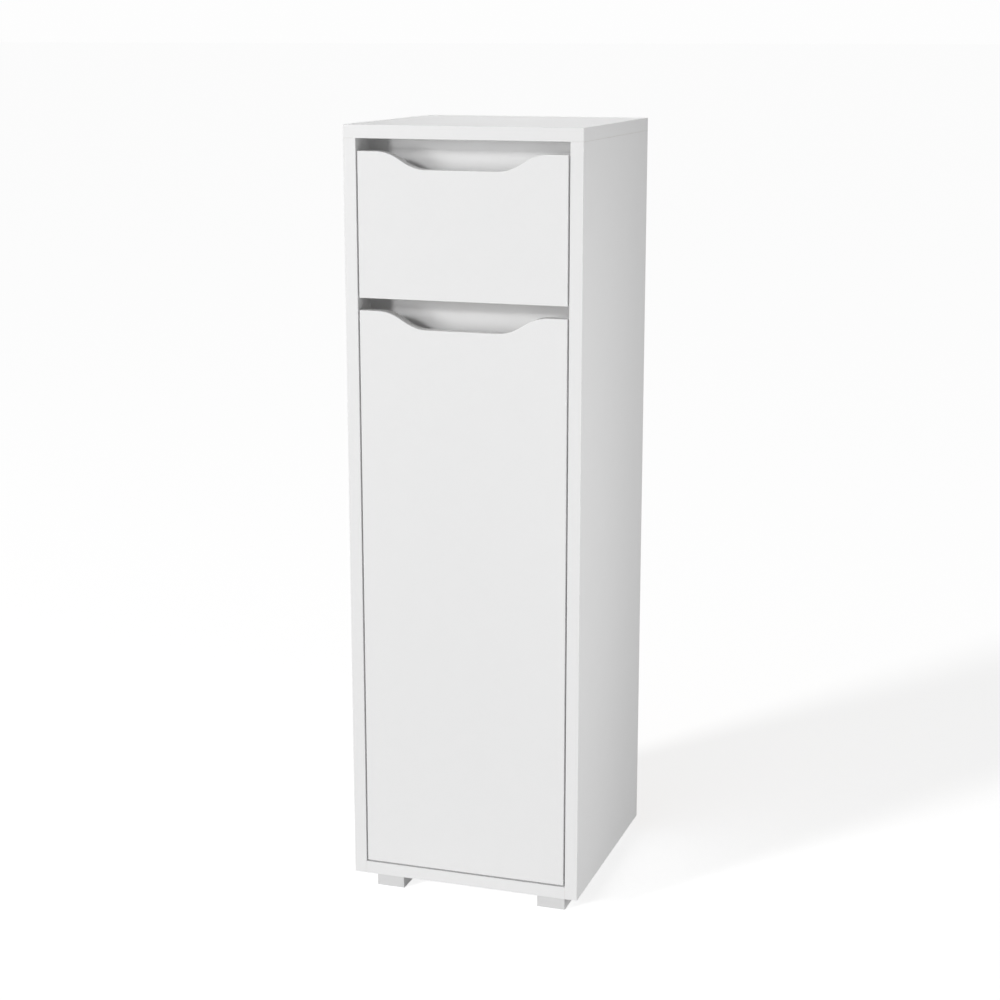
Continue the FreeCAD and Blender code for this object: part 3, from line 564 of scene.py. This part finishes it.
# Drawer runners. Folded steel with a white stoved coat. The cabinet halves are screwed to the side panels and
# carry a roller at the front, and the drawer halves sit under the drawer and carry one at the rear. Nylon
# rollers turn on riveted axles.
fold_easing = 0.00025
fold_angle = math.radians(50)
coat_steel = finish("stoved_steel", skin, {
    "Colour": (0.74, 0.74, 0.73, 1), "Second Colour": (0.71, 0.71, 0.70, 1), "Drift Scale": 25.0,
    "Pimple Scale": 1300.0, "Roughness": 0.3}, bump=0.00003, Coat_Weight=0.25)
nylon = finish("nylon", skin, {
    "Colour": (0.72, 0.71, 0.66, 1), "Second Colour": (0.66, 0.64, 0.58, 1), "Drift Scale": 120.0,
    "Pimple Scale": 2600.0, "Roughness": 0.38}, bump=0.00002)


def eased(name, source, material, easing, steps=2):
    """A folded or cast piece with the shape of a node and its sharp edges eased."""
    piece = merged(name, source)
    piece.data.materials.clear()
    piece.data.materials.append(material)
    bpy.ops.object.mode_set(mode="EDIT")
    pick(piece, "EDGE", lambda edge: edge.is_manifold and edge.calc_face_angle() > fold_angle)
    bpy.ops.mesh.bevel(offset=easing, segments=steps, profile=0.5, clamp_overlap=True)
    bpy.ops.object.mode_set(mode="OBJECT")
    return piece


for hand in ("left", "right"):
    for owner, body in (("cabinet", "carcass"), ("drawer", "drawer")):
        source = owner + "_runner_" + hand
        settle(eased(owner + "_rail_" + hand, source, coat_steel, fold_easing), body, "coated_steel", source)
    dress(nylon, "cabinet_roller_" + hand, "drawer_roller_" + hand)
dress(nickel, "cabinet_roller_axles", "drawer_roller_axles")

# Drawer box. Two sides and a back of 12 mm coated board with a band along the top, and a hardboard bottom
# that slides in grooves. Small cams hold the sides to the front, and screws hold them to the back.
bottom_low, bottom_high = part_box("drawer_bottom")
for hand in ("left", "right"):
    low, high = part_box("drawer_side_" + hand)
    panel = board("drawer_side_board_" + hand, low, high, "top")
    groove(panel, bottom_low - groove_play,
           Vector((bottom_high.x, high.y + overrun, bottom_high.z)) + groove_play)
    drill_for(panel, "drawer_cam_locks", overrun)
    drill_for(panel, "drawer_cam_bolts")
    drill_for(panel, "drawer_runner_screws", radius=screw_hole_radius)
    drill_for(panel, "drawer_box_screws")
    settle(panel, "drawer", "white_board", "drawer_side_" + hand)
panel = board("drawer_back_board", *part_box("drawer_back"), "top")
drill_for(panel, "drawer_box_screws", radius=screw_hole_radius)
settle(panel, "drawer", "white_board", "drawer_back")
sheet = hardboard("drawer_sheet", bottom_low, bottom_high, "top")
settle(sheet, "drawer", "white_hardboard", "drawer_bottom")

# Drawer front. Coated board, 16 mm thick. Its upper edge is routed down to a grip: a shoulder, two arcs with
# a short slope between them, and a flat. A soft-edged band runs all round it.
shoulder = 0.023
grip_radius = 0.054
grip_depth = 0.021
grip_slope = math.radians(31)
arc_steps = 14
front_radius = 0.0008
front_steps = 3
seam_gap = 0.00001


def grip_front(name, source):
    """A front board in place of a node, drawn as half an outline, mirrored, filled, thickened and eased."""
    low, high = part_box(source)
    bpy.ops.object.select_all(action="DESELECT")
    bpy.ops.mesh.primitive_plane_add(size=high.x, location=(0, low.y, low.z))
    bpy.ops.object.transform_apply()
    piece = bpy.context.object
    piece.name = name
    for material in (coating, band, core):
        piece.data.materials.append(material)
    bpy.ops.object.mode_set(mode="EDIT")
    bpy.ops.mesh.select_mode(type="VERT")
    bpy.ops.mesh.select_all(action="SELECT")
    bpy.ops.mesh.merge(type="CENTER")

    def run(x, z):
        bpy.ops.mesh.extrude_vertices_move(TRANSFORM_OT_translate={"value": (x, 0, z)})

    def turn(angle, x, z):
        bpy.ops.mesh.spin(steps=arc_steps, angle=angle, center=(x, low.y, z), axis=sides["rear"])

    arc_run = grip_radius * math.sin(grip_slope)
    arc_fall = grip_radius * (1 - math.cos(grip_slope))
    slope_fall = grip_depth - 2 * arc_fall
    slope_run = slope_fall / math.tan(grip_slope)
    flat_end = high.x - shoulder - 2 * arc_run - slope_run
    run(high.x, 0)
    run(0, high.z - low.z)
    run(-shoulder, 0)
    turn(grip_slope, high.x - shoulder, high.z - grip_radius)
    run(-slope_run, -slope_fall)
    turn(-grip_slope, flat_end, high.z - grip_depth + grip_radius)
    run(-flat_end, 0)
    bpy.ops.mesh.select_all(action="SELECT")
    bpy.ops.mesh.symmetrize(direction="POSITIVE_X")
    bpy.ops.mesh.select_all(action="SELECT")
    bpy.ops.mesh.remove_doubles(threshold=seam_gap)
    bpy.ops.mesh.edge_face_add()
    bpy.ops.mesh.extrude_region_move(TRANSFORM_OT_translate={"value": (0, high.y - low.y, 0)})
    bpy.ops.mesh.select_all(action="SELECT")
    bpy.ops.mesh.normals_make_consistent(inside=False)
    bpy.ops.object.mode_set(mode="OBJECT")
    for face in piece.data.polygons:
        face.material_index = 0 if abs(face.normal.y) > same_way else 1
    bpy.ops.object.mode_set(mode="EDIT")
    pick(piece, "EDGE", lambda edge: abs(edge.verts[0].co.y - edge.verts[1].co.y) < band_radius)
    bpy.ops.mesh.bevel(offset=front_radius, segments=front_steps, profile=0.5, material=1)
    bpy.ops.object.mode_set(mode="OBJECT")
    return piece


drawer_front = grip_front("drawer_face", "drawer_front")
groove(drawer_front, bottom_low - groove_play, bottom_high + groove_play)
drill_for(drawer_front, "drawer_cam_bolts")
settle(drawer_front, "drawer", "white_board", "drawer_front")

# Door. The same board and grip as the drawer front, drilled at the back for two hinge cups and their screws.
cup_radius = 0.0176
cup_depth = 0.0131
door = grip_front("door_face", "door_panel")
door_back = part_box("door_panel")[1].y
for level in ("lower", "upper"):
    cup_middle = sum(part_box("hinge_cup_" + level), Vector()) / 2
    drill(door, Vector((cup_middle.x, door_back, cup_middle.z)), sides["rear"], cup_radius, 2 * cup_depth)
drill_for(door, "hinge_cup_screws", radius=screw_hole_radius)
settle(door, "door", "white_board", "door_panel")

# Hinges. Two pressed, nickel-plated concealed hinges. A plate is screwed to the left side, an arm is clamped
# to it, and a cup sits in the door. Each arm's hooked nose turns on a pin in its cup.
press_easing = 0.0002
for level in ("lower", "upper"):
    for part, body in (("arm", "carcass"), ("plate", "carcass"), ("cup", "door")):
        source = "hinge_" + part + "_" + level
        pressed = eased("pressed_" + part + "_" + level, source, nickel, press_easing)
        settle(pressed, body, "nickel_steel", source)
dress(nickel, "hinge_pins", "hinge_arm_screws")
